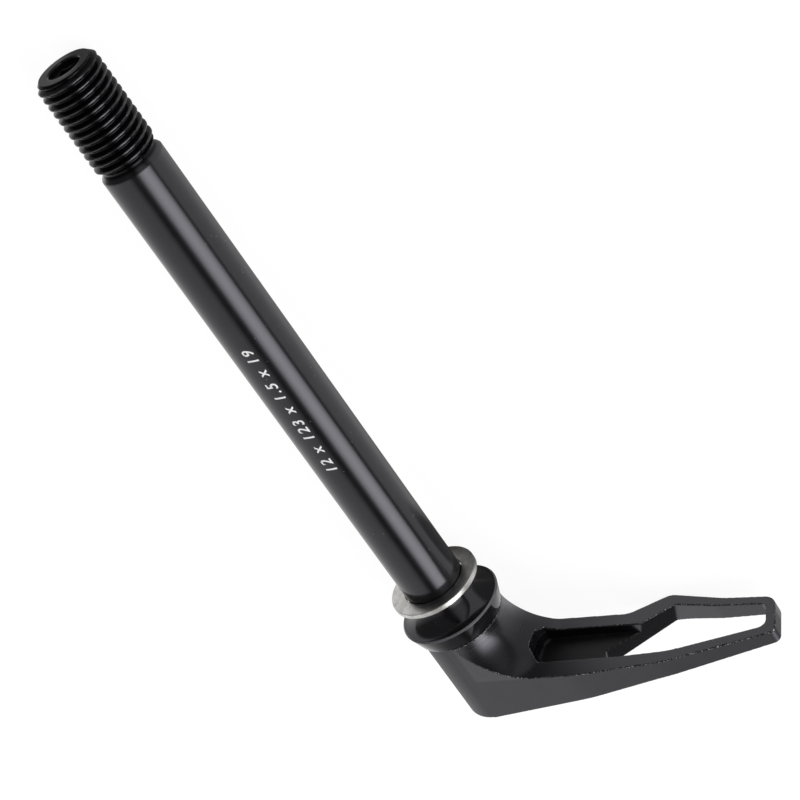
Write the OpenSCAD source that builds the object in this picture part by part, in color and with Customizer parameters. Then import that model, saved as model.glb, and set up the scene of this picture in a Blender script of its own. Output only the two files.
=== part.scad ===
// Thru axle for a bicycle wheel, with a pull-and-turn lever.
// The shaft lies along X. X = 0 is the bearing face of the washer and +X points to the threaded tip.
// The arm of the lever points along -Y and its broad seen edge faces +Z.

/* [Shaft] */
// Diameter of the plain shaft
shaft_d = 12; // [10:0.5:15]
// Length from the bearing face of the washer to the tip
shaft_l = 123; // [90:1:180]
// Width of the chamfer around the tip
tip_chamfer = 1.05; // [0.4:0.05:1.4]

/* [Thread] */
// Length of the threaded tip
thread_l = 19; // [12:1:28]
// Pitch of the thread
thread_pitch = 1.5; // [1:0.25:2]
// Depth of the thread, crest to root
thread_depth = 0.92; // [0.6:0.02:1.2]

/* [Hex socket] */
// Size across the flats of the socket in the tip
hex_af = 5; // [5:0.5:6]
// Depth of the socket
hex_depth = 8; // [5:0.5:12]
// Diameter of the countersunk mouth of the socket
mouth_d = 6.5; // [6:0.1:8]
// Diameter of the hole drilled down the shaft
bore_d = 4.8; // [4:0.1:4.9]
// Distance from the bearing face to the blind end of that hole
bore_end = 14; // [10:1:40]

/* [Bell head] */
// Diameter of the rim of the bell
rim_d = 20.4; // [19:0.2:23]
// Radius of the concave flare from the shaft to the rim
flare_r = 5.1; // [4.2:0.1:5.6]
// Diameter of the bell where it meets the lever
base_d = 18.1; // [17.6:0.1:19]
// Distance from the bearing face back to the joint with the lever
head_l = 10.1; // [8.5:0.1:14]
// Chamfer on the rim
rim_chamfer = 0.3; // [0.1:0.05:0.6]

/* [Washer] */
// Outer diameter of the loose washer
washer_d = 17.9; // [15:0.1:20]
// Thickness of the washer
washer_t = 1.1; // [0.6:0.05:1.6]
// Radial play between the washer and the shaft
washer_play = 0.3; // [0.1:0.05:0.4]

/* [Teeth] */
// Number of teeth that lock the lever to the axle
tooth_count = 18; // [8:1:24]
// Diameter over the teeth of the axle
tooth_d = 11.2; // [10:0.1:12]
// Height of a tooth
tooth_h = 0.7; // [0.4:0.05:0.9]
// Length of the teeth on the axle
tooth_l = 4; // [3:0.1:5]
// Clearance between the teeth of the axle and the ring, all round
tooth_play = 0.08; // [0.04:0.01:0.1]
// Radial wall of the toothed ring outside its teeth
ring_wall = 1.1; // [0.8:0.1:1.4]
// Length of the toothed ring
ring_l = 3.8; // [3:0.1:5]
// Distance that the ring sits below the front of the hub
ring_inset = 0.6; // [0.2:0.1:1]

/* [Nose] */
// Diameter of the nose that carries the spring
nose_d = 8; // [7:0.1:8.6]
// Radial clearance of the lever on the nose
nose_play = 0.08; // [0.03:0.01:0.1]

/* [Lever hub] */
// Diameter of the hub of the lever
hub_d = 17; // [16.8:0.1:17.8]
// Length of the hub along the axle
hub_l = 19; // [18:0.1:24]
// Radius of the rounded edge at the back of the hub
hub_round = 1; // [0.5:0.1:2]
// Gap at the joint between the bell and the lever
joint_gap = 0.1; // [0.05:0.05:0.2]
// Thickness of the web that the spring pushes on
web_t = 1.8; // [1.2:0.1:2.4]
// Diameter of the recess in the back of the hub
recess_d = 12; // [11.8:0.1:12.6]

/* [Lever arm] */
// Reach of the arm from the centre line of the shaft to its tip
arm_reach = 64.6; // [58:0.2:75]
// Height of the neck below the centre line
neck_low = 6.25; // [6:0.05:7]
// Radius that blends the neck into the hub
neck_blend = 4; // [2:0.5:6]
// Distance from the front of the hub back to the front face of the arm
face_back = 9.3; // [9:0.1:11]
// Radius of the turned fillet between the boss and the front face
fillet_r = 8.6; // [6:0.2:8.8]
// Clearance of the turned boss outside the hub
boss_step = 0.45; // [0.1:0.05:0.6]
// Thickness of the arm at its tip
tip_t = 2.7; // [2:0.1:4]
// Thickness of the arm where the slope of its back eases
mid_t = 4.4; // [3.6:0.1:6]
// Width of the frame along the seen edge of the window
rail_w = 2.9; // [2:0.1:3.2]
// Depth of the pocket at the hub end
pocket_deep = 2.3; // [1:0.1:4]
// Depth of the pocket at the window
pocket_shallow = 1.6; // [0.4:0.1:2.2]

/* [Spring] */
// Diameter of the wire
wire_d = 0.8; // [0.5:0.05:1]
// Number of turns
spring_turns = 4; // [3:0.5:5]
// Radial gap between the nose and the inside of the spring
spring_gap = 0.5; // [0.2:0.05:0.6]
// Length of the spring when the lever is home
spring_l = 8.2; // [7.6:0.1:8.6]

/* [Retaining screw] */
// Diameter of the screw
screw_d = 5; // [4:0.5:5]
// Length of the screw below its head
screw_l = 17; // [12:1:22]
// Diameter of the screw's head
screw_head_d = 9; // [8:0.1:10]
// Height of the screw's head
screw_head_t = 2; // [1.6:0.1:2.2]
// Size across the flats of the screw's socket
screw_af = 3; // [2.5:0.5:4]
// Clearance of the screw in its holes
screw_play = 0.05; // [0.02:0.01:0.1]
// Diameter of the seat that the spring pushes against
seat_d = 11.2; // [10.8:0.1:11.4]
// Thickness of that seat
seat_t = 1; // [0.6:0.1:1.2]

/* [Hidden] */

// Fineness of round surfaces
round_fn = 96;
// Steps in a rounded corner
corner_steps = 6;
// How far a cutter runs past the face that it cuts
over = 1;
// Small chamfers that break the edges of turned pieces
edge = 0.25;
// Point angle of a twist drill, measured from its axis
drill_half_angle = 59;

shaft_r = shaft_d / 2;
root_r = shaft_r - thread_depth;
thread_start = shaft_l - thread_l;
tip_flat_r = shaft_r - tip_chamfer;
mouth_l = (mouth_d - hex_af) / 2;
rim_r = rim_d / 2;
base_r = base_d / 2;
flare_start = washer_t + edge;
// Distances behind the bearing face, one after another down the hidden nose
hub_start = head_l + joint_gap;
teeth_end = head_l + tooth_l;
ring_start = hub_start + ring_inset;
ring_end = ring_start + ring_l;
web_end = ring_end + web_t;
nose_end = web_end + spring_l;
hub_end = hub_start + hub_l;
face_z = hub_start + face_back;
nose_r = nose_d / 2;
tooth_r = tooth_d / 2;
ring_r = tooth_r + tooth_play + ring_wall;
spring_r = nose_r + spring_gap + wire_d / 2;
hub_r = hub_d / 2;
boss_r = hub_r + boss_step;

// Runs a shape drawn along its own Z along X instead, towards the tip
module towards_tip() { rotate([0, 90, 0]) children(); }

// Runs a shape drawn along its own Z away from the tip: x is the reach of the arm, y is up
// and z is the distance behind the bearing face
module behind_seat() { rotate([90, 0, -90]) children(); }

// Points of an arc of radius r about [cx, cy], from angle a0 to a1
function arc(cx, cy, r, a0, a1, n = corner_steps) =
    [for (i = [0 : n]) let (a = a0 + (a1 - a0) * i / n) [cx + r * cos(a), cy + r * sin(a)]];

// Unit vector from p to q
function unit(p, q) = (q - p) / norm(q - p);

// An angle brought into -180 to 180
function wrapped(a) = a > 180 ? a - 360 : a < -180 ? a + 360 : a;

// Arc of radius r that rounds the corner b between its neighbours a and c
function rounded(a, b, c, r) =
    let (u = unit(b, a), v = unit(b, c), half = acos(u * v) / 2)
    let (centre = b + unit([0, 0], u + v) * r / sin(half))
    let (p = b + u * r / tan(half) - centre, q = b + v * r / tan(half) - centre)
    let (a0 = atan2(p[1], p[0]), turn = wrapped(atan2(q[1], q[0]) - a0))
    arc(centre[0], centre[1], r, a0, a0 + turn);

function xy(p) = [p[0], p[1]];

// Outline through the corners [x, y, radius]; a corner with radius 0 stays sharp
function outline(c) = let (n = len(c)) [for (i = [0 : n - 1]) each
    c[i][2] > 0 ? rounded(xy(c[(i + n - 1) % n]), xy(c[i]), xy(c[(i + 1) % n]), c[i][2]) : [xy(c[i])]];

// Thread as one groove a pitch, in the same half section. The crests are flat, the flanks stand at
// flank_angle, and the chamfer of the tip cuts the last crest
flank_angle = 30;
crest_half = thread_pitch * 0.11;
flank = thread_depth * tan(flank_angle);
crest_count = floor((thread_l - tip_chamfer - crest_half) / thread_pitch + 0.5);
last_root = thread_start + thread_pitch * crest_count + (thread_pitch / 2 - crest_half - flank);
last_crest = (tip_flat_r + shaft_l - root_r + last_root / tan(flank_angle)) / (1 + 1 / tan(flank_angle));
thread_half = [for (i = [0 : crest_count - 1]) let (x = thread_start + thread_pitch * (i + 0.5))
    each [[root_r, x - crest_half - flank], [shaft_r, x - crest_half],
        [shaft_r, x + crest_half], [root_r, x + crest_half + flank]]];

// Half section of the axle as [radius, place along X], from the nose to the tip
// The flare starts in a slight cone under the washer, so that the plain shaft begins at the washer's face
flare_lead = 0.03;
flare_centre = shaft_r + flare_lead + flare_r;
flare_turn = acos(max(0, (flare_centre - rim_r + rim_chamfer) / flare_r));
rim_front = flare_start + flare_r * sin(flare_turn);
relief_r = root_r - 0.05;
relief_start = thread_start - thread_pitch * 0.9;
axle_half = concat(
    [[0, -nose_end], [nose_r - edge, -nose_end], [nose_r, -nose_end + edge], [nose_r, -head_l],
     [base_r - edge, -head_l], [base_r, -head_l + edge],
     [rim_r, -rim_front - rim_chamfer], [rim_r - rim_chamfer, -rim_front]],
    arc(flare_centre, -flare_start, flare_r, 180 + flare_turn, 180, 16),
    [[shaft_r, 0], [shaft_r, relief_start], [relief_r, relief_start + shaft_r - relief_r], [relief_r, thread_start]],
    thread_half,
    [[root_r, last_root], [tip_flat_r + shaft_l - last_crest, last_crest], [tip_flat_r, shaft_l], [0, shaft_l]]);

// Outline of the teeth, grown on every side by play
function tooth_outline(play) = [for (i = [0 : tooth_count - 1])
    let (a = 360 / tooth_count * i, grow = play / tooth_r * 180 / PI)
    let (root_half = 360 / tooth_count * 0.34 + grow, tip_half = 360 / tooth_count * 0.2 + grow)
    each [for (p = [[-root_half, tooth_r - tooth_h], [-tip_half, tooth_r], [tip_half, tooth_r],
                    [root_half, tooth_r - tooth_h]])
        let (r = p[1] + play) [r * cos(a + p[0]), r * sin(a + p[0])]]];

// Hole drilled down the shaft, with the cone that the drill leaves
module drilled_bore() {
    point_l = bore_d / 2 / tan(drill_half_angle);
    translate([bore_end + point_l, 0, 0]) towards_tip()
        cylinder(h = shaft_l, d = bore_d, $fn = round_fn);
    translate([bore_end, 0, 0]) towards_tip()
        cylinder(h = point_l, d1 = 0, d2 = bore_d, $fn = round_fn);
}

// Socket in the tip for a hexagon key, with its countersunk mouth
module hex_socket() {
    translate([shaft_l - hex_depth, 0, 0]) towards_tip()
        cylinder(h = hex_depth + over, d = hex_af / cos(30), $fn = 6);
    translate([shaft_l - mouth_l, 0, 0]) towards_tip()
        cylinder(h = 2 * mouth_l, d1 = hex_af, d2 = 2 * mouth_d - hex_af, $fn = round_fn);
}

module axle() {
    color("#1b1b1d") difference() {
        union() {
            towards_tip() rotate_extrude($fn = round_fn) polygon(axle_half);
            behind_seat() translate([0, 0, head_l - edge]) linear_extrude(tooth_l + edge)
                polygon(tooth_outline(0));
        }
        drilled_bore();
        hex_socket();
        behind_seat() translate([0, 0, nose_end - screw_l - over])
            cylinder(h = screw_l + 2 * over, d = screw_d + 2 * screw_play, $fn = round_fn);
    }
}

module washer() {
    hole_r = shaft_r + washer_play;
    half = [[hole_r + edge, 0], [washer_d / 2 - edge / 2, 0], [washer_d / 2, edge / 2],
        [washer_d / 2, washer_t - edge / 2], [washer_d / 2 - edge / 2, washer_t],
        [hole_r + edge, washer_t], [hole_r, washer_t - edge], [hole_r, edge]];
    color("#c8c8c6") behind_seat() rotate_extrude($fn = round_fn) polygon(half);
}

// The lever's outlines are drawn at the size of the photographed one; sized() stretches their corners
// [reach, up, radius] to this arm's reach and hub
drawn_reach = 64.6;
drawn_hub_d = 17;
k = arm_reach / drawn_reach;
tall = hub_d / drawn_hub_d;
function sized(corners) = [for (c = corners) [c[0] * k, c[1] * tall, c[2] * k]];

blend_up = -neck_low - neck_blend;
blend_out = sqrt(pow(hub_r + neck_blend, 2) - pow(blend_up, 2));
neck_arc = arc(blend_out, blend_up, neck_blend, 90, 180 + atan(blend_up / blend_out), 5);
arm_corners = concat(
    [[0, hub_r, 0]],
    sized([[25, 8.5, 60], [43, 6.75, 25], [64.6, 1.15, 2.2], [61.9, -7.5, 3.2], [51, -8.2, 20], [39.3, -10.35, 3.6]]),
    [[31 * k, -neck_low - 0.1 * tall, 5 * k]],
    [for (p = neck_arc) [p[0], p[1], 0]],
    [[0, -hub_r / 2, 0]]);

// The window's corners. Its slanted end runs from slant_low to slant_high
slant_low = [40.6 * k, -7.55 * tall];
slant_high = [23.6 * k, 7.55 * tall - rail_w];
window_corners = concat(
    [[slant_low[0], slant_low[1], 0.9 * k]],
    sized([[50, -6.35, 20], [60.5, -5.75, 1.5], [62.3, -0.35, 1.4]]),
    [[43.5 * k, 6.85 * tall - rail_w, 25 * k], [slant_high[0], slant_high[1], 0.8 * k]]);

// The pocket's corners. It opens into the window past the slanted end
pocket_corners = concat(
    sized([[12.15, -2.2, 0.4], [13.2, -3.75, 0.7], [33.6, -3.3, 0.8]]),
    [[slant_low[0] + 0.6, slant_low[1] + 0.35, 0], [slant_high[0] + 3, slant_high[1] - 0.1, 0]],
    sized([[14.8, 4.5, 0.7], [12.4, 1.6, 1]]));

// Profile of the arm seen from below, [reach, distance behind the bearing face]
arm_back = outline([[0, hub_start, 0], [arm_reach + over, hub_start, 0],
    [arm_reach + over, face_z + tip_t - 0.05, 0], [34 * k, face_z + mid_t, 40], [0, hub_end, 0]]);

// Space above the sloping floor of the pocket, in the same view
pocket_side = [[10, hub_start], [slant_low[0] + over, hub_start],
    [slant_low[0] + over, face_z + pocket_shallow], [13, face_z + pocket_deep],
    [10, face_z + pocket_deep]];

// Everything that the lathe removes in front of the arm: the boss, its fillet and the front face
turned_away = concat([[boss_r, 0]],
    arc(boss_r + fillet_r, face_z - fillet_r, fillet_r, 180, 90, 16),
    [[arm_reach + 4 * over, face_z], [arm_reach + 4 * over, 0]]);

// Extrudes a side view [reach, distance behind] across the lever
module across_lever(side) {
    translate([0, hub_d, 0]) rotate([90, 0, 0]) linear_extrude(2 * hub_d) polygon(side);
}

module lever_stock() {
    rotate_extrude($fn = round_fn) polygon(concat(
        [[0, hub_start], [hub_r - edge, hub_start], [hub_r, hub_start + edge]],
        arc(hub_r - hub_round, hub_end - hub_round, hub_round, 0, 90),
        [[0, hub_end]]));
    intersection() {
        translate([0, 0, hub_start]) linear_extrude(hub_l) polygon(outline(arm_corners));
        across_lever(arm_back);
    }
}

module lever() {
    color("#2b2b2e") behind_seat() difference() {
        lever_stock();
        rotate_extrude($fn = round_fn) polygon(turned_away);
        translate([0, 0, face_z - over]) linear_extrude(hub_l) polygon(outline(window_corners));
        intersection() {
            translate([0, 0, hub_start]) linear_extrude(hub_l) polygon(outline(pocket_corners));
            across_lever(pocket_side);
        }
        translate([0, 0, hub_start - over]) cylinder(h = ring_end - hub_start + over, r = ring_r, $fn = round_fn);
        translate([0, 0, hub_start]) cylinder(h = hub_l, r = nose_r + nose_play, $fn = round_fn);
        translate([0, 0, web_end]) cylinder(h = hub_l, d = recess_d, $fn = round_fn);
        translate([0, 0, hub_end - edge])
            cylinder(h = 2 * edge, d1 = recess_d, d2 = recess_d + 4 * edge, $fn = round_fn);
    }
}

module toothed_ring() {
    color("#8a8a8c") behind_seat() translate([0, 0, ring_start]) linear_extrude(ring_l) difference() {
        circle(r = ring_r, $fn = round_fn);
        polygon(tooth_outline(tooth_play));
    }
}

// Wound wire from the web to the spring seat, with a closed turn at each end
wire_steps = 22;
wire_sides = 8;
wire_rings = round(spring_turns * wire_steps);
closed = 0.75;
open_l = spring_l - wire_d * (1 + 2 * closed);
function wire_place(turn) =
    turn < closed ? wire_d * turn
    : turn > spring_turns - closed ? spring_l - wire_d - wire_d * (spring_turns - turn)
    : wire_d * closed + open_l * (turn - closed) / (spring_turns - 2 * closed);
function wire_ring(i) = let (turn = i / wire_steps, a = 360 * turn)
    let (z = web_end + wire_d / 2 + wire_place(turn))
    [for (j = [0 : wire_sides - 1]) let (b = 360 * j / wire_sides, r = spring_r + wire_d / 2 * cos(b))
        [r * cos(a), r * sin(a), z + wire_d / 2 * sin(b)]];

module spring() {
    n = wire_sides;
    points = [for (i = [0 : wire_rings]) each wire_ring(i)];
    side = [for (i = [0 : wire_rings - 1], j = [0 : n - 1])
        [n * i + j, n * i + n + j, n * i + n + (j + 1) % n, n * i + (j + 1) % n]];
    first = [for (j = [0 : n - 1]) j];
    last = [for (j = [n - 1 : -1 : 0]) n * wire_rings + j];
    color("#9a9a9a") behind_seat() polyhedron(points, concat(side, [first], [last]), convexity = 8);
}

module spring_seat() {
    color("#a0a0a2") behind_seat() translate([0, 0, nose_end]) difference() {
        cylinder(h = seat_t, d = seat_d, $fn = round_fn);
        translate([0, 0, -over]) cylinder(h = seat_t + 2 * over, d = screw_d + 4 * screw_play, $fn = round_fn);
    }
}

module retaining_screw() {
    head_z = nose_end + seat_t;
    half = [[0, head_z - screw_l], [screw_d / 2 - edge, head_z - screw_l],
        [screw_d / 2, head_z - screw_l + edge], [screw_d / 2, head_z], [screw_head_d / 2, head_z],
        [screw_head_d / 2, head_z + screw_head_t - edge],
        [screw_head_d / 2 - edge, head_z + screw_head_t], [0, head_z + screw_head_t]];
    color("#6e6e70") behind_seat() difference() {
        rotate_extrude($fn = round_fn) polygon(half);
        translate([0, 0, head_z + screw_head_t * 0.3])
            cylinder(h = screw_head_t, d = screw_af / cos(30), $fn = 6);
    }
}

axle();
washer();
lever();
toothed_ring();
spring();
spring_seat();
retaining_screw();
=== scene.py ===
"""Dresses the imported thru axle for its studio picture.

Lengths in the helpers are in millimetres and become metres in make_mesh() and at().
X runs from the washer's bearing face to the threaded tip, the lever's arm points along -Y and Z is up.
"""
import math

import bmesh
import bpy
import numpy as np
from mathutils import Matrix, Vector

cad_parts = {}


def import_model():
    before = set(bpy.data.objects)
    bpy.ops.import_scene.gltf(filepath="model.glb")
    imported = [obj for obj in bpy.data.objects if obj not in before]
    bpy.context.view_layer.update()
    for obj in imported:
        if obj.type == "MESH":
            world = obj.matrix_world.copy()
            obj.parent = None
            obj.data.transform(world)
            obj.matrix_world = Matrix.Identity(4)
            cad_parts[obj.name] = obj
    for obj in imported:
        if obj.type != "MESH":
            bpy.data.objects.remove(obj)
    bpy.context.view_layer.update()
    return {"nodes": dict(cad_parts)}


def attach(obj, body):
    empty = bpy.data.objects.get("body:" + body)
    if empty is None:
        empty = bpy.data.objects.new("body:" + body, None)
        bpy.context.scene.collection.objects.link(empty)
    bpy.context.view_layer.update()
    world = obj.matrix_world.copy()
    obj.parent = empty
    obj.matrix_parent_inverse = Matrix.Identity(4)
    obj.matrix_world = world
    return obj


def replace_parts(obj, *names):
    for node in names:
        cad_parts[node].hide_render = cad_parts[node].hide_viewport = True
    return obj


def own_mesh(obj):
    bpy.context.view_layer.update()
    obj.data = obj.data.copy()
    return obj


MM = 0.001
COLUMNS = 180  # points around every turned piece: ten a tooth, thirty a flat of the hexagons
SHARP = math.radians(32)

# The axle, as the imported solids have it
SHAFT_R = 6.0
SHAFT_L = 123.0
THREAD_START = 104.0
PITCH = 1.5
FLANK = math.radians(30)  # between the thread's flanks and the plane across the axis
ROOT_R = 5.08
TIP_R = 4.95
WASHER_T = 1.1
FLARE_R = 5.1
RIM_R = 10.2
BASE_R = 9.05
HEAD_L = 10.1
TEETH_END = 14.1
TOOTH_R = 5.6
TOOTH_ROOT = 4.9
TOOTH_STEP = 20  # degrees from tooth to tooth
TOOTH_FLAT = 4  # degrees from a tooth's middle to the end of its flat top
TOOTH_FLANK = 2.8  # degrees that its flank takes
NOSE_R = 4.0
NOSE_END = 24.6
SPRING_R = 4.9
WEB_END = 16.4
SPRING_L = 8.2
SPRING_TURNS = 4.0
WIRE_R = 0.4
NOSE_BORE_R = 2.55
NOSE_BORE_END = -6.6
SHAFT_BORE_R = 2.4
SHAFT_BORE_END = 15.44
DRILL_TIP = 14.0
RELIEF_START = 102.5
SOCKET_FLATS = 5.0
SOCKET_FLOOR = 115.0

# The same pieces where the scene follows the photograph more closely than the solids
CREST = 0.12  # half the width of the thread's flat crests
RUN_IN = 1.1  # how much the thread rises from its groove for each millimetre along
MOUTH_R = 3.0
MOUTH_DEPTH = 1.2  # the round counterbore before the socket's hexagon
WASHER_BORE_R = 6.14
WASHER_R = 8.95

# The print on the shaft
PRINT_X = 49.0
PRINT_ANGLE = 73.3
PRINT_STAND = 0.012  # the ink's thickness
PRINT_STRIP = 0.22  # width of the strips that let the flat letters bend round the shaft


def at(x, y, z):
    return Vector((x, y, z)) * MM


# ---------------------------------------------------------------- meshes

def smooth_faces(bm, limit=SHARP):
    """Smooth shading, with the edges that turn more than limit kept sharp."""
    for face in bm.faces:
        face.smooth = True
    for edge in bm.edges:
        if len(edge.link_faces) == 2:
            edge.smooth = edge.calc_face_angle(0.0) < limit
        else:
            edge.smooth = False


def make_mesh(name, bm, material, limit=SHARP):
    """Turns a bmesh in millimetres into a shown object."""
    bmesh.ops.remove_doubles(bm, verts=bm.verts, dist=1e-5)
    bmesh.ops.recalc_face_normals(bm, faces=bm.faces)
    smooth_faces(bm, limit)
    bmesh.ops.scale(bm, vec=(MM, MM, MM), verts=bm.verts)
    mesh = bpy.data.meshes.new(name)
    bm.to_mesh(mesh)
    bm.free()
    mesh.materials.append(material)
    obj = bpy.data.objects.new(name, mesh)
    bpy.context.scene.collection.objects.link(obj)
    return obj


def ring(x, r, column=None):
    """A ring's points. x and r are numbers or functions of the angle; column gives a column's own angle."""
    points = []
    for j in range(COLUMNS):
        angle = 360.0 * j / COLUMNS if column is None else column(j)
        far = r(angle) if callable(r) else r
        along = x(angle) if callable(x) else x
        turn = math.radians(angle)
        points.append(Vector((along, far * math.cos(turn), far * math.sin(turn))))
    return points


def skin(rings, capped=True):
    """Quads between neighbouring rings; the first and last close to a point on the axis."""
    bm = bmesh.new()
    rows = [[bm.verts.new(p) for p in points] for points in rings]
    for a, b in zip(rows, rows[1:]):
        for j in range(COLUMNS):
            k = (j + 1) % COLUMNS
            corners = [a[j], a[k], b[k], b[j]]
            bm.faces.new(corners)
    if not capped:
        for j in range(COLUMNS):
            k = (j + 1) % COLUMNS
            bm.faces.new([rows[-1][j], rows[-1][k], rows[0][k], rows[0][j]])
    return bm


def fillet(path, corner, before, after, steps=4):
    """Adds the corner (x, r) to path, rounded off between points before and after it on its two sides."""
    for i in range(steps + 1):
        t = i / steps
        x = (1 - t) ** 2 * before[0] + 2 * t * (1 - t) * corner[0] + t * t * after[0]
        r = (1 - t) ** 2 * before[1] + 2 * t * (1 - t) * corner[1] + t * t * after[1]
        path.append((x, r))


def rounded_path(corners):
    """The path (x, r) through corners (x, r, size); a corner with a size loses that length on both sides."""
    path = []
    for i, (x, r, size) in enumerate(corners):
        if size == 0:
            path.append((x, r))
            continue
        here = Vector((x, r))
        last = Vector(corners[i - 1][:2])
        following = Vector(corners[(i + 1) % len(corners)][:2])
        before = here + (last - here).normalized() * size
        after = here + (following - here).normalized() * size
        fillet(path, here, before, after)
    return path


def hexagon(flats):
    """Radius at an angle of a hexagon of that size across its flats."""
    return lambda angle: flats / 2 / math.cos(math.radians((angle + 30) % 60 - 30))


# ---------------------------------------------------------------- turned pieces

def thread_radius(x, angle):
    """Radius of the thread's surface: a helix with flat crests, between its run-in and the tip's chamfer."""
    phase = ((x - THREAD_START) / PITCH - angle / 360) % 1.0
    away = abs(phase - 0.5) * PITCH
    flank = SHAFT_R - max(0.0, away - CREST) / math.tan(FLANK)
    run_in = ROOT_R + (x - THREAD_START) * RUN_IN
    chamfer = TIP_R + SHAFT_L - x
    return min(max(ROOT_R, flank), run_in, chamfer)


def thread_rings():
    """Rings from the relief groove to the tip, fine enough for the crests to stay crisp."""
    rows = 260
    length = SHAFT_L - THREAD_START
    found = []
    for i in range(rows + 1):
        x = THREAD_START + length * i / rows
        found.append(ring(x, lambda angle, x=x: thread_radius(x, angle)))
    return found


def tooth_column(j):
    """Angle of a column where the teeth are, so that their corners fall on columns."""
    offsets = (0, 2, 4, 6.8, 8.4, 10, 11.6, 13.2, 16, 18)
    return (j // len(offsets)) * TOOTH_STEP + offsets[j % len(offsets)]


def tooth_radius(angle):
    """Radius of the axle's 18 teeth: a flat top, then a straight flank down to the root."""
    away = abs((angle + TOOTH_STEP / 2) % TOOTH_STEP - TOOTH_STEP / 2)
    share = min(1.0, max(0.0, (away - TOOTH_FLAT) / TOOTH_FLANK))
    return TOOTH_R - (TOOTH_R - TOOTH_ROOT) * share


def head_path():
    """The bell from the teeth to the start of the plain shaft, as (x, r)."""
    flare_x = -(WASHER_T + 0.25)
    centre_r = SHAFT_R + FLARE_R
    turn = math.acos((centre_r - RIM_R + 0.3) / FLARE_R)
    rim_x = flare_x - FLARE_R * math.sin(turn)
    path = rounded_path([
        (-HEAD_L, 5.0, 0), (-HEAD_L, BASE_R, 0.22), (rim_x - 0.3, RIM_R, 0.12), (rim_x, RIM_R - 0.3, 0.06),
        (rim_x + 0.4, RIM_R - 0.62, 0)])[:-1]
    steps = 28
    for i in range(1, steps + 1):
        a = turn * (1 - i / steps)
        path.append((flare_x - FLARE_R * math.sin(a), centre_r - FLARE_R * math.cos(a)))
    return path


def round_rings(path):
    return [ring(x, r) for x, r in path]


def nose_path():
    """From the bottom of the nose's bore round its end to the teeth."""
    chamfer = 0.25
    return [(NOSE_BORE_END, 0.0), (NOSE_BORE_END, NOSE_BORE_R), (-NOSE_END + 0.15, NOSE_BORE_R),
            (-NOSE_END, NOSE_BORE_R + 0.15), (-NOSE_END, NOSE_R - chamfer), (-NOSE_END + chamfer, NOSE_R),
            (-TEETH_END, NOSE_R)]


def relief_path():
    """The plain shaft, and the groove between it and the thread."""
    return [(60.0, SHAFT_R), (RELIEF_START - 0.3, SHAFT_R), (RELIEF_START, SHAFT_R),
            (RELIEF_START + 0.25, SHAFT_R - 0.12), (RELIEF_START + 1.0, 5.13), (RELIEF_START + 1.15, 5.05)]


def socket_rings():
    """The tip's face, the socket's round mouth, its hexagon and the bore behind it."""
    mouth_end = SHAFT_L - MOUTH_DEPTH
    mouth = rounded_path([(SHAFT_L, TIP_R, 0), (SHAFT_L, MOUTH_R + 0.25, 0.1),
                          (SHAFT_L - 0.25, MOUTH_R + 0.02, 0.05), (mouth_end, MOUTH_R, 0)])[1:]
    hexagonal = hexagon(SOCKET_FLATS)
    start = ring(lambda angle: mouth_end - 0.5 * (MOUTH_R - hexagonal(angle)), hexagonal)
    inside = [(SOCKET_FLOOR, hexagonal), (SOCKET_FLOOR, SHAFT_BORE_R),
              (SHAFT_BORE_END, SHAFT_BORE_R), (DRILL_TIP, 0.0)]
    return round_rings(mouth) + [start] + round_rings(inside)


def axle(material):
    """Shaft, bell and nose in one turned piece, with its helical thread, hexagon socket and bores."""
    teeth = [ring(-x, tooth_radius, tooth_column) for x in (TEETH_END, HEAD_L)]
    rings = round_rings(nose_path()) + teeth + round_rings(head_path()) + round_rings(relief_path())
    rings += thread_rings() + socket_rings()
    return make_mesh("axle_turned", skin(rings), material, math.radians(28))


def washer(material):
    """The loose washer, with tumbled edges."""
    path = rounded_path([(0, WASHER_BORE_R, 0.1), (0, WASHER_R, 0.2),
                         (-WASHER_T, WASHER_R, 0.2), (-WASHER_T, WASHER_BORE_R, 0.1)])
    return make_mesh("washer_tumbled", skin(round_rings(path), capped=False), material)


def retaining_screw(material):
    """The screw that holds the lever on, seen in the back of the hub."""
    point, shank_r = -8.6, 2.5
    head, head_r, head_t = -(NOSE_END + 1.0), 4.5, 2.0
    hexagonal = hexagon(3.0)
    path = rounded_path([(point, 0.0, 0), (point, shank_r, 0.3), (head, shank_r, 0), (head, head_r, 0.15),
                         (head - head_t, head_r, 0.35), (head - head_t, 1.9, 0)])
    rings = round_rings(path)
    rings += [ring(head - 1.9, lambda angle: hexagonal(angle) + 0.08), ring(head - 1.8, hexagonal),
              ring(head - 0.6, hexagonal), ring(head - 0.6, 0.0)]
    return make_mesh("screw_turned", skin(rings), material)


def wire_place(turn):
    """How far along the spring its wire is after that many turns. Nearly a turn is closed at each end."""
    closed = 0.75
    wire = 2 * WIRE_R
    if turn < closed:
        return wire * turn
    if turn > SPRING_TURNS - closed:
        return SPRING_L - wire - wire * (SPRING_TURNS - turn)
    open_l = SPRING_L - wire * (1 + 2 * closed)
    return wire * closed + open_l * (turn - closed) / (SPRING_TURNS - 2 * closed)


def wire_point(turn, b):
    """A point of the wire's skin. The solid's reach and up are this frame's -Y and Z."""
    a = 2 * math.pi * turn
    far = SPRING_R + WIRE_R * math.cos(b)
    behind = WEB_END + WIRE_R + wire_place(turn) + WIRE_R * math.sin(b)
    return -behind, -far * math.cos(a), far * math.sin(a)


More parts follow.
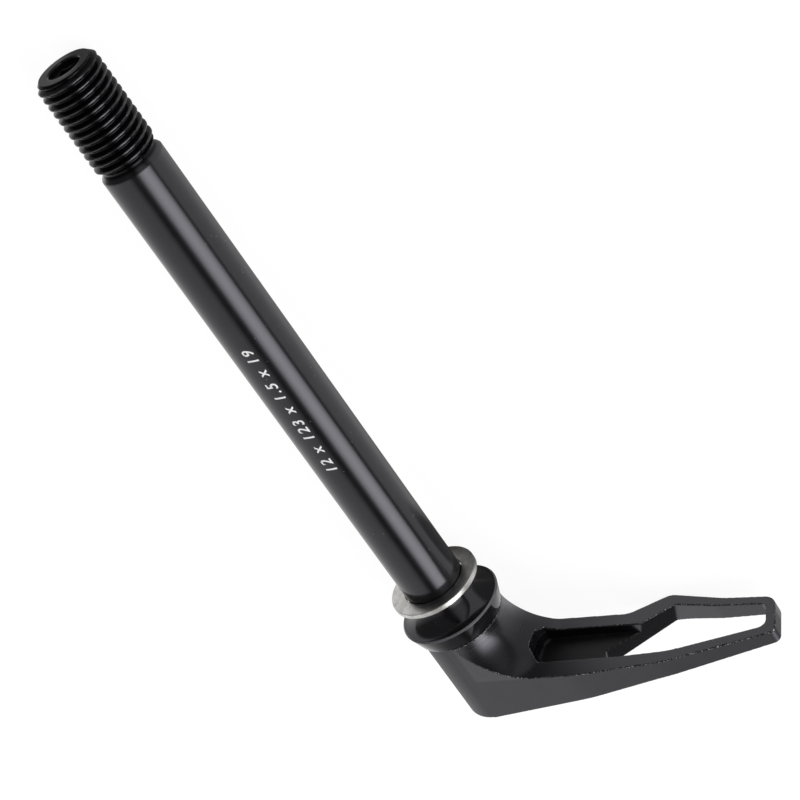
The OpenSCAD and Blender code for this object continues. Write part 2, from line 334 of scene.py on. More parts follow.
def spring(material):
    """The pressure spring as one round wire."""
    steps, sides = 48, 14
    bm = bmesh.new()
    rows = []
    for i in range(int(SPRING_TURNS * steps) + 1):
        rows.append([bm.verts.new(wire_point(i / steps, 2 * math.pi * j / sides)) for j in range(sides)])
    for first, second in zip(rows, rows[1:]):
        for j in range(sides):
            k = (j + 1) % sides
            bm.faces.new([first[j], first[k], second[k], second[j]])
    bm.faces.new(rows[0])
    bm.faces.new(rows[-1])
    return make_mesh("spring_wire", bm, material)


def flat_print():
    """The size in plain numbers, as flat letters about the origin."""
    curve = bpy.data.curves.new("size_print_text", "FONT")
    curve.body = "12 x 123 x 1.5 x 19"
    curve.size = 2.9
    curve.shear = 0.2
    curve.offset = 0.04
    curve.space_character = 1.27
    curve.align_x = "CENTER"
    curve.align_y = "CENTER"
    curve.resolution_u = 4
    text = bpy.data.objects.new("size_print_text", curve)
    bpy.context.scene.collection.objects.link(text)
    bpy.context.view_layer.update()
    shown = text.evaluated_get(bpy.context.evaluated_depsgraph_get())
    bm = bmesh.new()
    bm.from_mesh(bpy.data.meshes.new_from_object(shown))
    bpy.data.objects.remove(text)
    return bm


def size_print(material):
    """Diameter, length, pitch and thread length, printed along the shaft."""
    bm = flat_print()
    bmesh.ops.triangulate(bm, faces=bm.faces)
    for i in range(-8, 9):
        every = bm.verts[:] + bm.edges[:] + bm.faces[:]
        bmesh.ops.bisect_plane(bm, geom=every, plane_co=(0, i * PRINT_STRIP, 0), plane_no=(0, 1, 0))
    far = SHAFT_R + PRINT_STAND
    for vert in bm.verts:
        a = math.radians(PRINT_ANGLE) + vert.co.y / SHAFT_R
        vert.co = Vector((PRINT_X + vert.co.x, -far * math.cos(a), far * math.sin(a)))
    return make_mesh("size_print", bm, material)


# ---------------------------------------------------------------- the lever
# Drawn as in the solids: s is the arm's reach, h is up and z is the distance behind the bearing face.

HUB_R = 8.5
HUB_START = 10.25
HUB_END = 29.65
HUB_EDGE = 0.5
FACE_Z = 19.5
REACH = 64.85
ARM_MIDDLE = 3.95  # the arm's depth behind its face at s = 42
ARM_TIP = 2.65
FILLET_R = 8.6
BOSS_R = 8.95
NECK_R = 3.6
NECK_LOW = 6.85
POCKET_START = 2.4  # the pocket's depth near the hub
POCKET_END = 1.85
RAIL = 2.9
SLANT_LOW = (40.7, -7.6)
SLANT_HIGH = (28.4, 1.1)
LEAN = (-0.42, -0.056)  # how the slanting wall leans towards the hub for each millimetre back
RING_BORE_R = 6.78
RING_BORE_END = 14.6
NOSE_HOLE_R = 4.08
SCREW_BORE_R = 6.0
VOXEL = 0.1
LEVER_TRIANGLES = 170000


def arc(centre, radius, start, end, steps=24):
    points = []
    for i in range(steps + 1):
        a = math.radians(start + (end - start) * i / steps)
        points.append((centre[0] + radius * math.cos(a), centre[1] + radius * math.sin(a)))
    return points


def rounded_corner(before, here, after, radius, steps=12):
    """The arc of that radius that joins the two sides of a corner."""
    u = (before - here).normalized()
    v = (after - here).normalized()
    half = math.acos(max(-1.0, min(1.0, u.dot(v)))) / 2
    centre = here + (u + v).normalized() * radius / math.sin(half)
    first = here + u * radius / math.tan(half) - centre
    last = here + v * radius / math.tan(half) - centre
    start = math.atan2(first.y, first.x)
    turn = (math.atan2(last.y, last.x) - start + math.pi) % (2 * math.pi) - math.pi
    points = []
    for i in range(steps + 1):
        a = start + turn * i / steps
        points.append((centre.x + radius * math.cos(a), centre.y + radius * math.sin(a)))
    return points


def outline(corners):
    """Points round the corners (x, y, radius); a corner with radius 0 stays sharp."""
    points = []
    for i, (x, y, radius) in enumerate(corners):
        here = Vector((x, y))
        if radius == 0:
            points.append((x, y))
            continue
        before = Vector(corners[i - 1][:2])
        after = Vector(corners[(i + 1) % len(corners)][:2])
        points += rounded_corner(before, here, after, radius)
    return points


def extruded(points, low, high, place):
    """A prism over the points; place turns (a, b, height) into (s, h, z)."""
    bm = bmesh.new()
    floor_verts = [bm.verts.new(place(a, b, low)) for a, b in points]
    roof_verts = [bm.verts.new(place(a, b, high)) for a, b in points]
    bm.faces.new(floor_verts)
    bm.faces.new(roof_verts)
    for i in range(len(points)):
        k = (i + 1) % len(points)
        bm.faces.new([floor_verts[i], floor_verts[k], roof_verts[k], roof_verts[i]])
    return bm


def seen_from_front(points, low, high):
    return extruded(points, low, high, lambda a, b, c: (a, b, c))


def seen_from_below(points):
    return extruded(points, -20.0, 20.0, lambda a, b, c: (a, c, b))


def turned(profile, steps=240):
    """A closed profile (r, z) revolved about the z axis."""
    bm = bmesh.new()
    rows = []
    for j in range(steps):
        a = 2 * math.pi * j / steps
        rows.append([bm.verts.new((r * math.cos(a), r * math.sin(a), z)) for r, z in profile])
    for j in range(steps):
        first, second = rows[j], rows[(j + 1) % steps]
        for i in range(len(profile)):
            k = (i + 1) % len(profile)
            bm.faces.new([first[i], first[k], second[k], second[i]])
    bmesh.ops.remove_doubles(bm, verts=bm.verts, dist=1e-5)
    return bm


def rough_object(bm):
    bmesh.ops.dissolve_degenerate(bm, edges=bm.edges, dist=1e-6)
    bmesh.ops.recalc_face_normals(bm, faces=bm.faces)
    mesh = bpy.data.meshes.new("rough")
    bm.to_mesh(mesh)
    bm.free()
    obj = bpy.data.objects.new("rough", mesh)
    bpy.context.scene.collection.objects.link(obj)
    return obj


def apply_modifiers(obj):
    bpy.context.view_layer.update()
    shown = obj.evaluated_get(bpy.context.evaluated_depsgraph_get())
    mesh = bpy.data.meshes.new_from_object(shown)
    obj.modifiers.clear()
    obj.data = mesh


def combine(target, operation, bm):
    """Applies one exact boolean to target; the tool goes away."""
    tool = rough_object(bm)
    change = target.modifiers.new("change", "BOOLEAN")
    change.operation = operation
    change.solver = "EXACT"
    change.object = tool
    apply_modifiers(target)
    bpy.data.objects.remove(tool)


def arm_outline():
    """The arm from the front: two nearly straight sides, with a neck below where it leaves the hub."""
    neck_h = -NECK_LOW - NECK_R
    neck_s = math.sqrt((HUB_R + NECK_R) ** 2 - neck_h ** 2)
    neck = arc((neck_s, neck_h), NECK_R, 90, 180 + math.degrees(math.atan(neck_h / neck_s)))
    inside = 0.6  # just past the hub's own top, where the two would only touch
    far = outline([(inside, HUB_R, 0), (25, HUB_R, 60), (43, 6.75, 25), (REACH, 1.3, 1.2), (61.9, -7.5, 3.2),
                   (51, -8.2, 20), (38.8, -10.35, 3.4), (31, -6.35, 5), (*neck[0], 0)])
    return far + neck[1:] + [(inside, -HUB_R / 2)]


def arm_side():
    """The arm from below: its back comes closer to its face towards the tip."""
    past = REACH + 0.75
    return outline([(0, HUB_START, 0), (past, HUB_START, 0), (past, FACE_Z + ARM_TIP, 0),
                    (42, FACE_Z + ARM_MIDDLE, 40), (0, HUB_END, 0)])


def add_bevel(obj, width, segments, limit):
    bevel = obj.modifiers.new("bevel", "BEVEL")
    bevel.width = width
    bevel.segments = segments
    bevel.limit_method = "ANGLE"
    bevel.angle_limit = limit
    return bevel


def lever_blank():
    """The arm where its two outlines cross, with its edges broken, joined to the round hub."""
    chamfer = 0.25
    hub = [(0, HUB_START), (HUB_R - chamfer, HUB_START), (HUB_R, HUB_START + chamfer)]
    hub += arc((HUB_R - HUB_EDGE, HUB_END - HUB_EDGE), HUB_EDGE, 0, 90, 8) + [(0, HUB_END)]
    blank = rough_object(seen_from_front(arm_outline(), HUB_START, HUB_END))
    combine(blank, "INTERSECT", seen_from_below(arm_side()))
    add_bevel(blank, HUB_EDGE, 3, math.radians(50))
    apply_modifiers(blank)
    combine(blank, "UNION", turned(hub))
    return blank


def pocket():
    """The pocket's cutter, with a floor that slopes from the hub to the window."""
    end = SLANT_LOW[0] + 1
    cutter = rough_object(seen_from_front(outline([
        (12.15, -2.2, 0.4), (13.2, -3.75, 0.7), (36.5, -3.4, 0), (31.5, 4.5, 0), (14.8, 4.5, 0.7),
        (12.4, 1.6, 1)]), HUB_START, HUB_END))
    combine(cutter, "INTERSECT", seen_from_below([
        (10, HUB_START), (end, HUB_START), (end, FACE_Z + POCKET_END),
        (13, FACE_Z + POCKET_START), (10, FACE_Z + POCKET_START)]))
    bm = bmesh.new()
    bm.from_mesh(cutter.data)
    bpy.data.objects.remove(cutter)
    return bm


def window():
    """The through window. Its wall towards the hub slants across the arm and leans back."""
    bm = seen_from_front(outline([
        (*SLANT_LOW, 0.6), (50, -6.35, 20), (60.5, -5.75, 1.5), (62.3, -0.35, 1.4), (43.5, 6.85 - RAIL, 25),
        (30.2, 7.45 - RAIL, 0.5), (*SLANT_HIGH, 0.4)]), FACE_Z - 1, HUB_END + 1)
    for vert in bm.verts:
        if vert.co.x < 45:
            back = vert.co.z - FACE_Z
            vert.co.x += LEAN[0] * back
            vert.co.y += LEAN[1] * back
    bmesh.ops.triangulate(bm, faces=bm.faces)
    return bm


def bores():
    """The toothed ring's seat, the hole for the nose and the bore for spring and screw, with its chamfer."""
    chamfer_r = SCREW_BORE_R + 0.5
    return turned([
        (0, HUB_START - 1), (RING_BORE_R, HUB_START - 1), (RING_BORE_R, RING_BORE_END),
        (NOSE_HOLE_R, RING_BORE_END), (NOSE_HOLE_R, WEB_END), (SCREW_BORE_R, WEB_END),
        (SCREW_BORE_R, HUB_END - 0.25), (chamfer_r, HUB_END + 0.25),
        (chamfer_r, HUB_END + 1), (0, HUB_END + 1)])


def lever(material):
    """The lever cut from its blank as the real one is, then meshed finely enough to soften its edges."""
    blank = lever_blank()
    boss = [(BOSS_R, 0)] + arc((BOSS_R + FILLET_R, FACE_Z - FILLET_R), FILLET_R, 180, 90, 48)
    past = REACH + 3.75
    for cut in (turned(boss + [(past, FACE_Z), (past, 0)], 360), window(), pocket(), bores()):
        combine(blank, "DIFFERENCE", cut)
    remesh = blank.modifiers.new("remesh", "REMESH")
    remesh.mode = "VOXEL"
    remesh.voxel_size = VOXEL
    apply_modifiers(blank)
    bm = bmesh.new()
    bm.from_mesh(blank.data)
    bpy.data.objects.remove(blank)
    soften(bm)
    turn_into_frame = Matrix(((0, 0, -1), (-1, 0, 0), (0, 1, 0))).to_4x4()
    bmesh.ops.transform(bm, matrix=turn_into_frame, verts=bm.verts)
    obj = make_mesh("lever_milled", bm, material, math.pi)
    thin = obj.modifiers.new("thin", "DECIMATE")
    thin.ratio = min(1.0, LEVER_TRIANGLES / (2 * len(obj.data.polygons)))
    apply_modifiers(obj)
    mark_convex_edges(obj)
    return obj


def soften(bm):
    """Breaks every edge a little, and rounds the milled floor of the pocket more."""
    smooth_passes(bm, bm.verts, 9)
    low = [v for v in bm.verts
           if 11 < v.co.x < 26 and -4.5 < v.co.y < 6 and FACE_Z + 0.7 < v.co.z < FACE_Z + 2.8]
    smooth_passes(bm, low, 60)


def smooth_passes(bm, verts, passes):
    for _ in range(passes):
        bmesh.ops.smooth_vert(bm, verts=verts, factor=0.5, use_axis_x=True, use_axis_y=True, use_axis_z=True)


def mark_convex_edges(obj):
    """Stores how convex the surface is at each point, so that the finish can wear along the edges and a
    painted highlight can follow them.
    """
    mesh = obj.data
    count = len(mesh.vertices)
    place = np.empty(count * 3, np.float32)
    mesh.vertices.foreach_get("co", place)
    normal = np.empty(count * 3, np.float32)
    mesh.vertex_normals.foreach_get("vector", normal)
    ends = np.empty(len(mesh.edges) * 2, np.int32)
    mesh.edges.foreach_get("vertices", ends)
    place, normal, ends = place.reshape(-1, 3), normal.reshape(-1, 3), ends.reshape(-1, 2)
    a, b = ends.T
    step = place[b] - place[a]
    convex = ((normal[b] - normal[a]) * step).sum(1) / np.maximum((step * step).sum(1), 1e-12) * MM
    shared = np.bincount(a, minlength=count) + np.bincount(b, minlength=count)
    value = (np.bincount(a, convex, count) + np.bincount(b, convex, count)) / shared
    for _ in range(2):
        value = (value + (np.bincount(a, value[b], count) + np.bincount(b, value[a], count)) / shared) / 2
    layer = mesh.attributes.new("wear", "FLOAT", "POINT")
    layer.data.foreach_set("value", value.astype(np.float32))


# ---------------------------------------------------------------- materials

class Nodes:
    """Short names for building one material's or world's node tree."""

    def __init__(self, owner):
        owner.use_nodes = True
        self.tree = owner.node_tree
        self.tree.nodes.clear()

    def add(self, kind, **values):
        node = self.tree.nodes.new(kind)
        for key, value in values.items():
            setattr(node, key, value)
        return node

    def link(self, source, target):
        self.tree.links.new(source, target)

    def put(self, socket, value):
        """Links an output to the socket, or sets the socket's own value."""
        if hasattr(value, "links"):
            self.link(value, socket)
        else:
            socket.default_value = value

    def math(self, operation, *values):
        node = self.add("ShaderNodeMath", operation=operation)
        for socket, value in zip(node.inputs, values):
            self.put(socket, value)
        return node.outputs[0]

    def place(self):
        """The surface's own place, in millimetres of the part's frame."""
        coords = self.add("ShaderNodeTexCoord")
        scale = self.add("ShaderNodeVectorMath", operation="SCALE")
        self.link(coords.outputs["Object"], scale.inputs[0])
        scale.inputs["Scale"].default_value = 1 / MM
        return scale.outputs[0]

    def split(self, vector):
        """The vector's X, Y and Z outputs."""
        node = self.add("ShaderNodeSeparateXYZ")
        self.link(vector, node.inputs[0])
        return node.outputs[0], node.outputs[1], node.outputs[2]

    def noise(self, place, scale, detail=3.0, rough=0.55):
        node = self.add("ShaderNodeTexNoise")
        self.link(place, node.inputs["Vector"])
        node.inputs["Scale"].default_value = scale
        node.inputs["Detail"].default_value = detail
        node.inputs["Roughness"].default_value = rough
        return node.outputs["Fac"]

    def ranged(self, value, low, high, to_low=0.0, to_high=1.0):
        """Maps low...high to to_low...to_high, and stays at their ends outside."""
        node = self.add("ShaderNodeMapRange", clamp=True)
        for socket, number in zip(node.inputs, (value, low, high, to_low, to_high)):
            self.put(socket, number)
        return node.outputs[0]

    def ramp(self, value, stops):
        node = self.add("ShaderNodeValToRGB")
        self.link(value, node.inputs[0])
        elements = node.color_ramp.elements
        while len(elements) < len(stops):
            elements.new(0.5)
        for element, (where, level) in zip(elements, stops):
            element.position = where
            element.color = (*level, 1) if isinstance(level, tuple) else (level, level, level, 1)
        return node.outputs[0]

    def mix(self, factor, a, b):
        node = self.add("ShaderNodeMix", data_type="RGBA")
        self.put(node.inputs["Factor"], factor)
        self.put(node.inputs["A"], a)
        self.put(node.inputs["B"], b)
        return node.outputs["Result"]

    def bump(self, height, strength, distance=0.0001, normal=None):
        node = self.add("ShaderNodeBump")
        node.inputs["Strength"].default_value = strength
        node.inputs["Distance"].default_value = distance
        self.link(height, node.inputs["Height"])
        if normal is not None:
            self.link(normal, node.inputs["Normal"])
        return node.outputs[0]

    def surface(self, colour, rough, metal=0.0, normal=None, ior=1.5):
        shader = self.add("ShaderNodeBsdfPrincipled")
        self.put(shader.inputs["Base Color"], colour)
        self.put(shader.inputs["Roughness"], rough)
        shader.inputs["Metallic"].default_value = metal
        shader.inputs["IOR"].default_value = ior
        if normal is not None:
            self.link(normal, shader.inputs["Normal"])
        out = self.add("ShaderNodeOutputMaterial")
        self.link(shader.outputs[0], out.inputs["Surface"])
        return shader


def material(name):
    found = bpy.data.materials.new(name)
    return found, Nodes(found)


COOL = (0.91, 0.905, 1.0, 1)  # the black anodising mirrors a little bluer than it is lit


def gloss_anodised():
    """Hard black anodising on turned metal: glossy, with a fine grain and rare pale specks, a painted
    highlight on the bell rim's chamfer and painted shade in the thread's valleys.
    """
    found, n = material("gloss_anodised")
    place = n.place()
    grain = n.noise(place, 9.0, 2.0)
    cloud = n.noise(place, 0.35, 2.0)
    specks = n.ranged(n.noise(place, 4.6, 0.0), 0.885, 0.9)
    colour = n.mix(n.ranged(cloud, 0.3, 0.7), (0.0065, 0.0065, 0.007, 1), (0.0095, 0.0095, 0.0105, 1))
    colour = n.mix(specks, colour, (0.35, 0.35, 0.36, 1))
    along, _, _ = n.split(place)
    far = axis_distance(n, place)
    bell = n.ranged(along, -1.5, 0.5, 0.55, 1.0)
    rough = n.math("MULTIPLY", n.ranged(grain, 0.3, 0.7, 0.13, 0.19), bell)
    rim_highlight = rim_painted_highlight(n, along, far)
    # painted highlight: the rim's chamfer is coloured grey and made rougher, as a thin bright line
    colour = n.mix(rim_highlight, colour, (0.12, 0.12, 0.127, 1))
    rough = n.math("ADD", rough, n.math("MULTIPLY", rim_highlight, 0.25))
    valley_shade = thread_valley_shade(n, along, far)
    # painted shade: the thread's valleys are darkened and reflect less
    colour = n.mix(valley_shade, colour, (0.002, 0.002, 0.002, 1))
    shader = n.surface(colour, rough, normal=n.bump(grain, 0.05, 0.00004))
    n.put(shader.inputs["Specular IOR Level"], n.ranged(valley_shade, 0.0, 1.0, 0.5, 0.12))
    n.put(shader.inputs["Specular Tint"], COOL)
    return found


def rim_painted_highlight(n, along, far):
    """1 on the small chamfer in front of the bell's rim, where a thin painted highlight is laid into the
    colour.
    """
    return n.math("MULTIPLY", n.ranged(far, RIM_R - 0.34, RIM_R - 0.28), n.ranged(along, -6.68, -6.6))


def thread_valley_shade(n, along, far):
    """1 below the thread's crests, outside the socket, where painted shade darkens the colour and weakens the
    reflection.
    """
    below = n.math("MULTIPLY", n.ranged(along, THREAD_START - 1.0, THREAD_START - 0.6),
                   n.ranged(far, 5.7, 5.96, 1.0, 0.0))
    return n.math("MULTIPLY", below, n.ranged(far, 4.9, 5.0))


def edge_wear_and_sheen(n, place):
    """Pale flecks and dark dashes along the convex edges: broken noise where the stored wear is high. The
    convex-edge mask it returns also carries a painted highlight.
    """
    stored = n.add("ShaderNodeAttribute", attribute_name="wear")
    edge = n.ranged(stored.outputs["Fac"], 0.35, 1.1)
    flecks = n.noise(place, 2.6, 6.0, 0.75)
    dashes = n.math("MULTIPLY", edge, n.ranged(n.noise(place, 3.4, 1.0), 0.47, 0.53))
    return edge, n.ranged(n.math("ADD", flecks, n.math("MULTIPLY", edge, 0.15)), 0.69, 0.75), dashes


def satin_anodised():
    """Bead-finished black anodising of the lever. Its concave fillet keeps the lathe's shiny rings. Painted
    shade weakens its reflection near the hub, and darkens the pocket and the window and weakens their
    reflection.
    """
    found, n = material("satin_anodised")
    place = n.place()
    grain = n.noise(place, 6.0, 3.0)
    turned, rings = turned_mask(n, place), turned_rings(n, place)
    milled_and_shaded, ahead = milled_shade_mask(n, place), looks_ahead(n)
    edge, flecks, dashes = edge_wear_and_sheen(n, place)
    normal = n.bump(grain, 0.16, 0.00005)
    normal = n.bump(n.math("MULTIPLY", rings, turned), 0.06, 0.00006, normal)
    shader = n.surface(satin_colour(n, place, milled_and_shaded, edge, flecks, dashes),
                       satin_rough(n, grain, turned, rings, milled_and_shaded, ahead), normal=normal, ior=1.6)
    # painted shade: the reflection is weakened near the hub on surfaces that look along the shaft
    hub_shade = n.math("MULTIPLY", ahead, n.ranged(axis_distance(n, place), 12.0, 32.0, 0.28, 0.0))
    # painted shade in the pocket and the window, together with the dark dashes' duller reflection
    shade_and_dash_dulling = n.math("MAXIMUM", hub_shade, n.math("MULTIPLY", n.math("MULTIPLY", milled_and_shaded, ahead), 0.34))
    shade_and_dash_dulling = n.math("MAXIMUM", shade_and_dash_dulling, n.math("MULTIPLY", dashes, 0.4))
    n.put(shader.inputs["Specular IOR Level"], n.math("SUBTRACT", 0.5, shade_and_dash_dulling))
    n.put(shader.inputs["Specular Tint"], COOL)
    return found


def satin_colour(n, place, milled_and_shaded, edge, flecks, dashes):
    """Cloudy black, darkened by painted shade in the pocket and the window, with greyer edges, partly wear
    and partly a painted highlight, that have dark dashes and pale flecks.
    """
    cloud = n.noise(place, 0.22, 2.0)
    colour = n.mix(n.ranged(cloud, 0.3, 0.7), (0.0095, 0.0095, 0.0105, 1), (0.014, 0.014, 0.0155, 1))
    # painted shade: darker colour in the pocket and the window
    colour = n.mix(milled_and_shaded, colour, (0.006, 0.006, 0.0065, 1))
    # partly wear and partly painted highlight: the convex edges are greyer
    colour = n.mix(n.math("MULTIPLY", edge, 0.6), colour, (0.06, 0.06, 0.063, 1))
    colour = n.mix(dashes, colour, (0.004, 0.004, 0.0045, 1))
    worn = n.math("MULTIPLY", n.math("MULTIPLY", edge, flecks), n.math("SUBTRACT", 1.0, milled_and_shaded))
    return n.mix(worn, colour, (0.42, 0.42, 0.43, 1))


def satin_rough(n, grain, turned, rings, milled_and_shaded, ahead):
    """Satin, but shinier in rings on the turned fillet and on the milled walls."""
    satin = n.ranged(grain, 0.25, 0.75, 0.40, 0.54)
    shiny = n.ranged(rings, 0.35, 0.75, 0.17, 0.38)
    rough = n.math("ADD", n.math("MULTIPLY", turned, shiny),
                   n.math("MULTIPLY", n.math("SUBTRACT", 1.0, turned), satin))
    walls = n.math("MULTIPLY", milled_and_shaded, n.math("SUBTRACT", 1.0, ahead))
    return n.math("MULTIPLY", rough, n.ranged(walls, 0.0, 1.0, 1.0, 0.5))


def turned_mask(n, place):
    """1 on the lathe-cut fillet between the hub and the arm's front face, 0 away from it."""
    along, _, _ = n.split(place)
    far = axis_distance(n, place)
    behind = n.math("MULTIPLY", along, -1.0)
    outside = n.ranged(far, BOSS_R - 0.25, BOSS_R - 0.05)
    inside = n.ranged(far, 16.0, 17.6, 1.0, 0.0)
    ahead = n.ranged(behind, FACE_Z - 0.2, FACE_Z + 0.1, 1.0, 0.0)
    return n.math("MULTIPLY", n.math("MULTIPLY", outside, inside), ahead)


def looks_ahead(n):
    """1 where the surface looks along the shaft, 0 where it looks sideways or back."""
    along, _, _ = n.split(n.add("ShaderNodeNewGeometry").outputs["Normal"])
    return n.ranged(along, 0.1, 0.6)


def milled_shade_mask(n, place):
    """1 in the pocket and the window, between the middles of the two rails and behind the front face. It
    marks the painted shade there and the milled walls' shinier finish.
    """
    along, across, up = n.split(place)
    reach = n.math("MULTIPLY", across, -1.0)
    high = n.math("SUBTRACT", n.ranged(reach, 28.0, 63.0, 6.5, 0.4), up)
    low = n.math("SUBTRACT", up, n.ranged(reach, 31.0, 39.0, -4.9, -8.9))
    behind = n.math("SUBTRACT", n.math("MULTIPLY", along, -1.0), FACE_Z + 0.1)
    ends = n.math("MINIMUM", n.math("SUBTRACT", reach, 11.0), n.math("SUBTRACT", 63.2, reach))
    least = n.math("MINIMUM", n.math("MINIMUM", high, low), n.math("MINIMUM", behind, ends))
    return n.ranged(least, 0.0, 0.25)


def axis_distance(n, place):
    _, across, up = n.split(place)
    return n.math("SQRT", n.math("ADD", n.math("POWER", across, 2.0), n.math("POWER", up, 2.0)))


def turned_rings(n, place):
    """Noise that changes only along the turned profile, so that it forms rings about the shaft's axis."""
    along, _, _ = n.split(place)
    join = n.add("ShaderNodeCombineXYZ")
    n.link(axis_distance(n, place), join.inputs[0])
    n.link(along, join.inputs[1])
    return n.noise(join.outputs[0], 5.5, 4.0, 0.7)


def tumbled_steel():
    """Pale tumbled steel of the washer, with fine pits and scratches."""
    found, n = material("tumbled_steel")
    place = n.place()
    grain = n.noise(place, 5.0, 4.0, 0.65)
    cloud = n.noise(place, 0.6, 2.0)
    colour = n.mix(n.ranged(cloud, 0.3, 0.7), (0.46, 0.45, 0.435, 1), (0.64, 0.63, 0.61, 1))
    colour = n.mix(n.ranged(grain, 0.55, 0.75), colour, (0.26, 0.25, 0.24, 1))
    rough = n.ranged(grain, 0.3, 0.7, 0.28, 0.46)
    n.surface(colour, rough, metal=1.0, normal=n.bump(grain, 0.35, 0.00006))
    return found


def bright_steel(name, level, rough):
    """Plain machined steel for the small hidden pieces."""
    found, n = material(name)
    place = n.place()
    grain = n.noise(place, 7.0, 3.0)
    dark = (level * 0.8, level * 0.8, level * 0.8, 1)
    pale = (level, level, level * 1.02, 1)
    n.surface(n.mix(n.ranged(grain, 0.3, 0.7), dark, pale), n.ranged(grain, 0.3, 0.7, rough, rough + 0.12),
              metal=1.0, normal=n.bump(grain, 0.15, 0.00004))
    return found


def print_ink():
    found, n = material("print_ink")
    place = n.place()
    patchy = n.noise(place, 4.0, 3.0)
    colour = n.mix(n.ranged(patchy, 0.35, 0.7), (0.78, 0.78, 0.78, 1), (0.9, 0.9, 0.9, 1))
    n.surface(colour, 0.5)
    return found


# ---------------------------------------------------------------- studio

# The table's plane: its height under the bell's flange, and how far it rises per millimetre along X and Y
TABLE_HEIGHT = -10.22
FLANGE_X = -6.2
RISE_X = 0.0325
RISE_Y = -0.0096

PAPER_WHITE = 0.92  # how the camera sees the lit table, a trace of shadow added
TENT_TOP = 5.5

# The tent's brightness round the shaft's axis, as a share of the full turn from straight behind, and along it
TENT_AROUND = ((0.0, 1.0), (0.47, 1.0), (0.478, 0.0), (0.497, 0.0), (0.512, 2.8), (0.545, 4.9),
               (0.585, 5.3), (0.622, 3.5), (0.645, 0.8), (0.662, 0.04), (0.695, 0.02), (0.722, 0.6),
               (0.75, 0.95), (1.0, 1.1))
TENT_ALONG = ((0.0, 0.12), (0.06, 0.2), (0.13, 0.75), (0.2, 1.0), (0.42, 1.0), (0.55, 0.45), (0.66, 0.14),
              (1.0, 0.14))


def camera():
    """The photograph's view: from above the tip's side, rolled so that the tip points up and left."""
    right = Vector((-0.50012, -0.77698, -0.38234))
    up = Vector((0.71975, -0.12746, -0.68244))
    back = Vector((0.48150, -0.61649, 0.62298))
    turn = Matrix((right, up, back)).transposed().to_4x4()
    data = bpy.data.cameras.new("camera")
    data.sensor_width = 36.0
    data.lens = 112.93
    data.clip_start = 0.01
    obj = bpy.data.objects.new("camera", data)
    obj.matrix_world = Matrix.Translation(at(254.55, -290.29, 273.08)) @ turn
    bpy.context.scene.collection.objects.link(obj)
    bpy.context.scene.camera = obj


def diffuse(n, colour):
    shader = n.add("ShaderNodeBsdfDiffuse")
    n.put(shader.inputs["Color"], colour)
    return shader.outputs[0]


def chosen(n, share, first, second):
    """The first shader where share is 0, the second where it is 1."""
    choice = n.add("ShaderNodeMixShader")
    for socket, output in zip(choice.inputs, (share, first, second)):
        n.link(output, socket)
    return choice.outputs[0]


def floor_material():
    """White paper. Seen directly or in a reflection it is the white background, with a trace of shadow."""
    found, n = material("paper")
    light = n.add("ShaderNodeLightPath")
    seen = n.math("MAXIMUM", light.outputs["Is Camera Ray"],
                  n.math("MAXIMUM", light.outputs["Is Glossy Ray"], light.outputs["Is Transmission Ray"]))
    place = n.place()
    grain = n.noise(place, 0.05, 2.0)
    paper = diffuse(n, n.mix(n.ranged(grain, 0.3, 0.7), (0.80, 0.80, 0.80, 1), (0.82, 0.82, 0.82, 1)))
    both = n.add("ShaderNodeAddShader")
    n.link(diffuse(n, (0.16, 0.16, 0.16, 1)), both.inputs[0])
    n.link(paper_glow(n, light, place), both.inputs[1])
    out = n.add("ShaderNodeOutputMaterial")
    n.link(chosen(n, seen, paper, both.outputs[0]), out.inputs["Surface"])
    return found


def paper_glow(n, light, place):
    """The paper's own brightness: white to the camera, and mirrored() in reflections."""
    level = n.add("ShaderNodeMix", data_type="FLOAT")
    n.put(level.inputs[0], light.outputs["Is Camera Ray"])
    n.put(level.inputs[2], mirrored(n, place))
    n.put(level.inputs[3], PAPER_WHITE)
    glow = n.add("ShaderNodeEmission")
    n.link(level.outputs[0], glow.inputs["Strength"])
    return glow.outputs[0]


def mirrored(n, place):
    """How bright the paper is in reflections: white, but shaded under the bell and the shaft, grey past the
    tip and dark far out in front."""
    x, y, _ = n.split(place)
    under_bell = n.math("MINIMUM", distance(n, x, y, -6.0, 3.0),
                        n.math("ADD", distance(n, x, y, 3.0, -9.0), 3.0))
    level = n.ranged(under_bell, 9.0, 14.0, 0.12, 0.86)
    beside_shaft = n.ranged(n.math("ABSOLUTE", y), 2.5, 7.0, 0.22, 1.0)
    behind_bell = n.ranged(x, -8.0, -2.0, 1.0, 0.0)
    past_tip = n.ranged(x, 121.0, 127.0, 1.0, 0.25)
    in_front = n.ranged(y, -80.0, -57.0, 0.03, 1.0)
    for share in (n.math("MAXIMUM", beside_shaft, behind_bell), past_tip, in_front):
        level = n.math("MULTIPLY", level, share)
    return level


def distance(n, x, y, spot_x, spot_y):
    """Distance along the floor from a spot."""
    along = n.math("POWER", n.math("SUBTRACT", x, spot_x), 2.0)
    across = n.math("POWER", n.math("SUBTRACT", y, spot_y), 2.0)
    return n.math("SQRT", n.math("ADD", along, across))


def floor():
    """The table, tilted to what the part lies on: the tip, the bell's flange and the low side of the arm."""
    bm = bmesh.new()
    half = 1500.0
    corners = []
    for x, y in ((-half, -half), (half, -half), (half, half), (-half, half)):
        corners.append(bm.verts.new((x, y, TABLE_HEIGHT + RISE_X * (x - FLANGE_X) + RISE_Y * y)))
    bm.faces.new(corners)
    obj = make_mesh("floor", bm, floor_material())


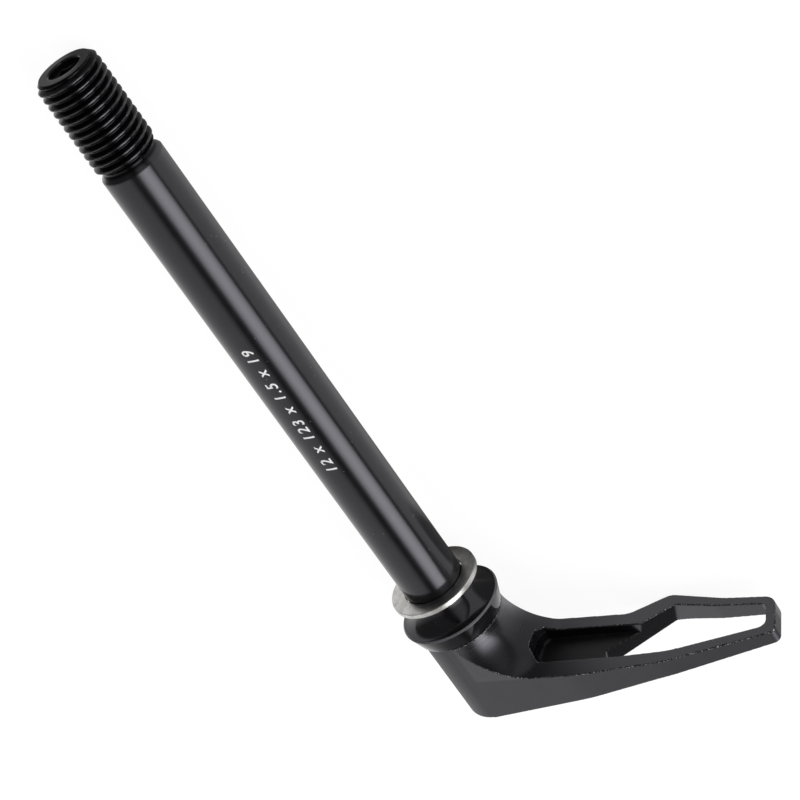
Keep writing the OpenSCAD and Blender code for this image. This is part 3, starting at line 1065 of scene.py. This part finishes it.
def world():
    """A white tent round the shaft's axis, with one bright soft box and the dark gap above it. It is open at
    both ends of the axis and dark behind the camera's stand."""
    found = bpy.data.worlds.new("tent")
    bpy.context.scene.world = found
    n = Nodes(found)
    x, y, z = n.split(n.add("ShaderNodeTexCoord").outputs["Generated"])
    angle = n.math("ARCTAN2", z, n.math("MULTIPLY", y, -1.0))
    around = n.math("ADD", n.math("DIVIDE", angle, 2 * math.pi), 0.5)
    along = n.math("ADD", n.math("MULTIPLY", x, 0.5), 0.5)
    both = n.add("ShaderNodeMix", data_type="RGBA", blend_type="MULTIPLY")
    both.inputs["Factor"].default_value = 1.0
    n.link(n.ramp(around, [(where, level / TENT_TOP) for where, level in TENT_AROUND]), both.inputs["A"])
    n.link(n.ramp(along, TENT_ALONG), both.inputs["B"])
    tent = background(n, both.outputs["Result"], TENT_TOP)
    white = background(n, (1, 1, 1, 1), 1.0)
    out = n.add("ShaderNodeOutputWorld")
    camera_ray = n.add("ShaderNodeLightPath").outputs["Is Camera Ray"]
    n.link(chosen(n, camera_ray, tent, white), out.inputs["Surface"])


def background(n, colour, strength):
    shader = n.add("ShaderNodeBackground")
    n.put(shader.inputs["Color"], colour)
    shader.inputs["Strength"].default_value = strength
    return shader.outputs[0]


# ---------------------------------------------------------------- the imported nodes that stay

def finish_node(node, finish, width):
    """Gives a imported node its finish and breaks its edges."""
    node.data.materials.clear()
    node.data.materials.append(finish)
    weld = node.modifiers.new("weld", "WELD")
    weld.merge_threshold = 1e-6
    flat = node.modifiers.new("flat", "DECIMATE")
    flat.decimate_type = "DISSOLVE"
    flat.angle_limit = math.radians(0.8)
    add_bevel(node, width * MM, 2, SHARP).harden_normals = True


def dress(nodes):
    """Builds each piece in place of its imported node, or finishes the node itself."""
    axle_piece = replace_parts(axle(gloss_anodised()), "axle")
    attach(axle_piece, "axle_body")
    ring_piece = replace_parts(washer(tumbled_steel()), "washer")
    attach(ring_piece, "axle_body")
    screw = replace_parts(retaining_screw(bright_steel("black_screw", 0.06, 0.3)), "retaining_screw")
    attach(screw, "axle_body")
    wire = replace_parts(spring(bright_steel("spring_wire", 0.5, 0.25)), "spring")
    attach(wire, "axle_body")
    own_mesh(wire)
    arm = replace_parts(lever(satin_anodised()), "lever")
    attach(arm, "lever_body")
    marking = size_print(print_ink())
    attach(marking, "axle_body")

    finish_node(nodes["toothed_ring"], bright_steel("hardened_steel", 0.35, 0.3), 0.06)
    finish_node(nodes["spring_seat"], bright_steel("seat_steel", 0.55, 0.25), 0.12)


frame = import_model()
camera()
floor()
world()
dress(frame["nodes"])
bpy.context.scene.view_settings.view_transform = "Standard"
